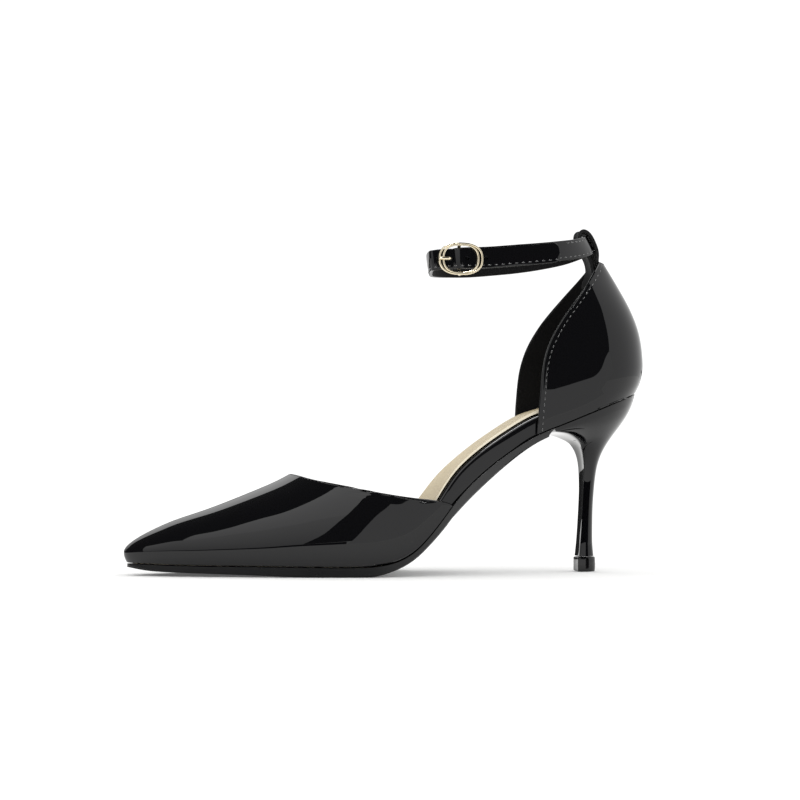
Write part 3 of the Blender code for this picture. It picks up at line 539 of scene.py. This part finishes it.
def drawWire(name, points, radii, closed=False):
    # round wire, made a mesh at its place on the ring
    curve = bpy.data.curves.new(name, "CURVE")
    curve.dimensions = "3D"
    curve.bevel_depth = 1
    curve.bevel_resolution = 5
    curve.use_fill_caps = True
    spline = curve.splines.new("POLY")
    spline.points.add(len(points) - 1)
    for i, point in enumerate(points):
        spline.points[i].co = (*point, 1)
        spline.points[i].radius = radii[i]
    spline.use_cyclic_u = closed
    drawn = bpy.data.objects.new(name, curve)
    bpy.context.scene.collection.objects.link(drawn)
    mesh = bpy.data.meshes.new_from_object(drawn.evaluated_get(bpy.context.evaluated_depsgraph_get()))
    bpy.data.objects.remove(drawn)
    bm = bmesh.new()
    bm.from_mesh(mesh)
    bmesh.ops.translate(bm, verts=bm.verts, vec=buckleSizes["ring"])
    bmesh.ops.scale(bm, verts=bm.verts, vec=(mm, mm, mm))
    bmesh.ops.remove_doubles(bm, verts=bm.verts, dist=0.001 * mm)
    bmesh.ops.recalc_face_normals(bm, faces=bm.faces)
    return bm


def joinBm(bm, other):
    mesh = bpy.data.meshes.new("joined")
    other.to_mesh(mesh)
    other.free()
    bm.from_mesh(mesh)


def ovalPoints(half, count=96):
    # squared oval in the plane of the ring
    points, power = [], 2 / buckleSizes["square"]
    for i in range(count):
        c, s = math.cos(math.tau * i / count), math.sin(math.tau * i / count)
        points.append((half[0] * math.copysign(abs(c) ** power, c), 0, half[1] * math.copysign(abs(s) ** power, s)))
    return points


depth, top = buckleSizes["barDepth"], (buckleSizes["outer"][1] + buckleSizes["inner"][1]) / 2
bend, corner = buckleSizes["barBend"]
halfBar = [(0, 0, top), (0, depth - bend, top), (0, depth - corner, top - corner), (0, depth, top - bend)]
bar = halfBar + [(x, y, -z) for x, y, z in reversed(halfBar)]
frameBm = drawWire("barWire", bar, [buckleSizes["barWire"]] * len(bar))
for part in ("outer", "inner"):
    oval = ovalPoints(buckleSizes[part])
    joinBm(frameBm, drawWire(part + "Wire", oval, [buckleSizes["wire"]] * len(oval), closed=True))
addPiece("buckleFrame", frameBm, (paleGold,), ("buckle_frame",))
hook = arcPoints((0, depth), buckleSizes["hook"], buckleSizes["hookTurns"])
prong = smoothLine(hook + [Vector((x, y, 0)) for x, y in buckleSizes["prong"]], 6)
prongTip = list(buckleSizes["prongTip"])
radii = [buckleSizes["prongWire"]] * (len(prong) - len(prongTip)) + prongTip
addPiece("bucklePin", drawWire("pinWire", prong, radii), (paleGold,), ("buckle_prong",))
print("buckle made")

# seams: each stitch is one small grain of thread pressed into the leather
stitchSizes = {
    "length": 1.9 * mm, "radius": 0.3 * mm, "sunk": 0.05 * mm, "pitch": 2.7 * mm, "inset": 2.1 * mm,
    "strapPitch": 3.0 * mm, "strapInset": 1.3 * mm, "underShare": 0.4, "coveredTo": 72 * mm,
    "endFrom": 76 * mm, "endSide": -8 * mm, "castFrom": 60 * mm,
}
stitches = bmesh.new()


def addStitch(spot, along, normal):
    side = normal.cross(along).normalized()
    turn = Matrix((side.cross(normal), side, normal)).transposed().to_4x4()
    grow = Matrix.Diagonal((stitchSizes["length"] / 2, stitchSizes["radius"], stitchSizes["radius"], 1))
    bmesh.ops.create_uvsphere(stitches, u_segments=6, v_segments=4, radius=1.0,
                              matrix=Matrix.Translation(spot) @ turn @ grow)


solid = bmesh.new()
solid.from_object(counter, bpy.context.evaluated_depsgraph_get())
skin = BVHTree.FromBMesh(solid)
solid.free()
sewn = evenPoints(frontLine, stitchSizes["pitch"])
for side in (-1, 1):
    for a, b in zip(sewn, sewn[1:]):
        along = (b - a).normalized()
        spot = a + Vector((along.z, 0, -along.x)) * stitchSizes["inset"]
        outside = Vector((spot.x, stitchSizes["castFrom"] * side, spot.z))
        hit, normal = skin.ray_cast(outside, Vector((0, -side, 0)))[:2]
        if hit:
            addStitch(hit, along, normal)

# one row along the lower edge of the strap, and a second where it comes to the tab
stride = round(stitchSizes["strapPitch"] / strapSizes["pitch"])
half = strapSizes["width"] / 2
low = stitchSizes["strapInset"] - half
nextPlace = 0
for i in range(last - 2):
    middle, outward, upward = strapStation(i)
    under = i < last * stitchSizes["underShare"]  # the layer that lies under the free end
    if i < nextPlace or (under and middle.x < stitchSizes["coveredTo"]):
        continue
    nextPlace = i + stride
    both = under and middle.x > stitchSizes["endFrom"] and middle.y < stitchSizes["endSide"]
    for row in (low, -low) if both else (low,):
        lift = strapSizes["wall"] / 2 + strapSizes["crown"] * (1 - (row / half) ** 2) - stitchSizes["sunk"]
        addStitch(middle + upward * row + outward * lift, upward.cross(outward), outward)
addPiece("seamStitches", stitches, (thread,))
print("stitches made")

# camera
cameraSizes = {"turn": 9.0, "pitch": 1.807, "reach": 900 * mm, "height": 48 * mm, "aim": 5.75 * mm, "lens": 91.44}
lens = bpy.data.cameras.new("camera")
lens.lens = cameraSizes["lens"]
lens.sensor_width = 36
lens.clip_end = 50
camera = bpy.data.objects.new("camera", lens)
turn = math.radians(cameraSizes["turn"])
camera.location = (cameraSizes["aim"] - cameraSizes["reach"] * math.sin(turn),
                   -cameraSizes["reach"] * math.cos(turn), cameraSizes["height"])
camera.rotation_euler = (math.radians(90 + cameraSizes["pitch"]), 0, -turn)
bpy.context.scene.collection.objects.link(camera)
bpy.context.scene.camera = camera

# light: panels and black cards that only the mirror coat sees, each panel with a card close behind it
panelSizes = {"backGap": 0.3 * mm}
cardLook = newMaterial("blackCard", {
    "Base Color": hexColour("#060606"), "Roughness": 0.9, "Specular IOR Level": 0.0})


def panelTurn(along, facing):
    # turn of a panel from its long side and the way it faces
    back = -Vector(facing).normalized()
    side = Vector(along)
    side = (side - back * side.dot(back)).normalized()
    return Matrix((side, back.cross(side), back)).transposed().to_4x4()


def blackCard(name, centre, along, facing, size):
    bm = bmesh.new()
    bmesh.ops.create_grid(bm, x_segments=1, y_segments=1, size=0.5)
    bmesh.ops.scale(bm, verts=bm.verts, vec=(*size, 1))
    bmesh.ops.transform(bm, verts=bm.verts, matrix=Matrix.Translation(centre) @ panelTurn(along, facing))
    card = meshObject(name, bm, (cardLook,))
    card.visible_camera = card.visible_diffuse = card.visible_shadow = False


def softBox(name, centre, along, facing, size, glow):
    # lit panel: middle, long side, way it shines, size, and brightness across its short side
    light = bpy.data.lights.new(name, "AREA")
    light.shape = "RECTANGLE"
    light.size, light.size_y = size
    light.energy = math.pi * size[0] * size[1]
    light.use_nodes = True
    tree = light.node_tree
    place = addNode(tree, "ShaderNodeNewGeometry").outputs["Parametric"]
    parts = addNode(tree, "ShaderNodeSeparateXYZ", None, {"Vector": place})
    fade = addNode(tree, "ShaderNodeMapRange", None, {
        "Value": parts.outputs["Y"], "To Min": glow[0], "To Max": glow[1]})
    tree.links.new(fade.outputs["Result"], tree.nodes["Emission"].inputs["Strength"])
    panel = bpy.data.objects.new(name, light)
    panel.matrix_world = Matrix.Translation(centre) @ panelTurn(along, facing)
    panel.visible_camera = panel.visible_diffuse = False
    bpy.context.scene.collection.objects.link(panel)
    behind = Vector(centre) - Vector(facing).normalized() * panelSizes["backGap"]
    blackCard(name + "Back", behind, along, facing, size)


softBox("leftTall", (-0.2905, -0.599, 0.961), (0.695, -0.719, 0), (0.617, 0.595, -0.515), (0.66, 0.9), (1.5, 2.2))
softBox("leftLow", (-0.751, -0.697, 0.2965), (0.695, -0.719, 0), (0.617, 0.595, -0.515), (1.16, 0.65), (0.8, 1.35))
softBox("nearCard", (0.1482, -0.28, -0.0592), (0.883, 0, -0.4695), (0, 1, 0), (0.4, 0.25), (1.05, 1.05))
softBox("cornerCard", (0.21, -0.27, 0.078), (0.815, 0, 0.58), (0, 1, 0), (0.27, 0.1), (1.05, 1.05))
softBox("rightWall", (0.9, -0.305, -0.073), (0, 0.788, -0.616), (-1, 0, 0), (1.8, 2.0), (1.0, 1.0))
softBox("rightTop", (0.6, 0.6, 0.875), (0, 1, 0), (-1, 0, 0), (1.7, 1.55), (1.0, 1.0))
softBox("topStrip", (-0.05, -0.25, 1.25), (1, 0, 0), (0, 0, -1), (0.5, 0.16), (24, 24))
softBox("backWall", (0, 1.6, 0.75), (1, 0, 0), (0, -1, -0.2), (4.0, 1.0), (1.3, 0.5))
# low skirting for the thin dark line along the vamp, and two flags for the dark streak down the heel
blackCard("skirting", (-0.625, -0.276, 0.0065), (1, 0, 0), (0, 1, 0), (1.15, 0.013))
blackCard("heelFlag", (0.084, -0.011, 0.026), (1, 0, 0), (0, 1, 0), (0.028, 0.026))
blackCard("heelFlagLow", (0.094, -0.011, 0.0065), (1, 0, 0), (0, 1, 0), (0.006, 0.013))

# white room that the mirror coat sees dark, so only the panels draw on it
roomGlow = {"seen": 1.12, "mirrored": 0.05}
world = bpy.data.worlds.new("studio")
world.use_nodes = True
bpy.context.scene.world = world
room = world.node_tree
room.nodes.clear()
white = hexColour("#ffffff")
bright = addNode(room, "ShaderNodeBackground", None, {"Color": white, "Strength": roomGlow["seen"]})
dark = addNode(room, "ShaderNodeBackground", None, {"Color": white, "Strength": roomGlow["mirrored"]})
ray = addNode(room, "ShaderNodeLightPath")
mixed = addNode(room, "ShaderNodeMixShader", None, {
    0: ray.outputs["Is Glossy Ray"], 1: bright.outputs[0], 2: dark.outputs[0]})
addNode(room, "ShaderNodeOutputWorld", None, {"Surface": mixed.outputs[0]})

# pale floor, a hair under the sole
floorSizes = {"half": 6, "under": 0.05 * mm}
floorLook = newMaterial("paleFloor", {
    "Base Color": hexColour("#fbfbfa"), "Roughness": 0.7, "Specular IOR Level": 0.0,
    "Emission Color": white, "Emission Strength": 0.1})
bm = bmesh.new()
bmesh.ops.create_grid(bm, x_segments=1, y_segments=1, size=floorSizes["half"])
bmesh.ops.translate(bm, verts=bm.verts, vec=(0, 0, -floorSizes["under"]))
floor = meshObject("floor", bm, (floorLook,))
bpy.context.scene.view_settings.view_transform = "Standard"
print("camera, lights and floor set")
